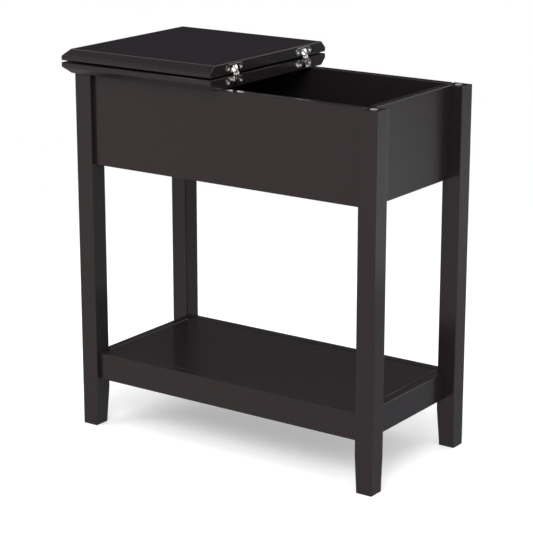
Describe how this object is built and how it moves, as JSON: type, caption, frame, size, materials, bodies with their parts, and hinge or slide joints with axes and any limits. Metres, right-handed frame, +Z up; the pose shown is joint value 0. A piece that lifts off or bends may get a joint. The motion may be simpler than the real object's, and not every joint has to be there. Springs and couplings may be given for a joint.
{
  "type": "lift top end table",
  "caption": "Slim side table with a storage box under a two-part top whose leaf folds over on concealed hinges, tapered legs and a lower shelf; shown with the leaf folded.",
  "frame": {"origin": "on the floor under the middle of the table's outline with the leaf folded", "axes": "+Z up, +X towards the open half of the box where the leaf lands, +Y to the back"},
  "size_m": [0.592, 0.32, 0.6458],
  "materials": {
    "black_lacquer": "smooth black-brown lacquer, fairly glossy",
    "hinge_chrome": "bright plated",
    "steel": "zinc plated",
    "beech": "raw beech",
    "clear_bumper": "clear soft plastic"
  },
  "bodies": {
    "frame": {"back_cleat": "black_lacquer", "back_panel": "black_lacquer", "back_rail": "black_lacquer", "box_bottom": "black_lacquer", "dowels": "beech", "fixed_pivot_pins": "steel", "fixed_top": "black_lacquer", "front_cleat": "black_lacquer", "front_fixed_cup": "hinge_chrome", "front_panel": "black_lacquer", "front_rail": "black_lacquer", "hinge_screws_fixed": "hinge_chrome", "left_cleat": "black_lacquer", "left_panel": "black_lacquer", "left_rail": "black_lacquer", "leg_back_left": "black_lacquer", "leg_back_right": "black_lacquer", "leg_bumpers": "clear_bumper", "leg_front_left": "black_lacquer", "leg_front_right": "black_lacquer", "rear_fixed_cup": "hinge_chrome", "right_panel": "black_lacquer", "right_rail": "black_lacquer", "shelf_board": "black_lacquer", "top_screws": "steel"},
    "links_a": {"front_links_a": "hinge_chrome", "rear_links_a": "hinge_chrome", "centre_pins": "steel", "slider_pins_a": "steel"},
    "links_b": {"front_links_b": "hinge_chrome", "rear_links_b": "hinge_chrome", "slider_pins_b": "steel"},
    "leaf": {"flip_leaf": "black_lacquer", "front_leaf_cup": "hinge_chrome", "rear_leaf_cup": "hinge_chrome", "leaf_pivot_pins": "steel", "hinge_screws_leaf": "hinge_chrome"}
  },
  "joints": [
    {"name": "fixed_pivots", "type": "hinge", "parent": "frame", "child": "links_a", "pos_m": [0.00258, 0, 0.61938], "axis": [0, 1, 0], "range_deg": [0, 115.45]},
    {"name": "centre_pins_turn", "type": "hinge", "parent": "links_a", "child": "links_b", "pos_m": [0.00831, 0, 0.6259], "axis": [0, 1, 0], "range_deg": [-50.95, 0]},
    {"name": "leaf_fold", "type": "hinge", "parent": "links_b", "child": "leaf", "pos_m": [0.00258, 0, 0.63242], "axis": [0, 1, 0], "range_deg": [0, 115.41]}
  ],
  "couplings": [
    {"joint": "fixed_pivots", "follows": "leaf_fold", "ratio": 1},
    {"joint": "centre_pins_turn", "follows": "leaf_fold", "ratio": -0.44125}
  ]
}
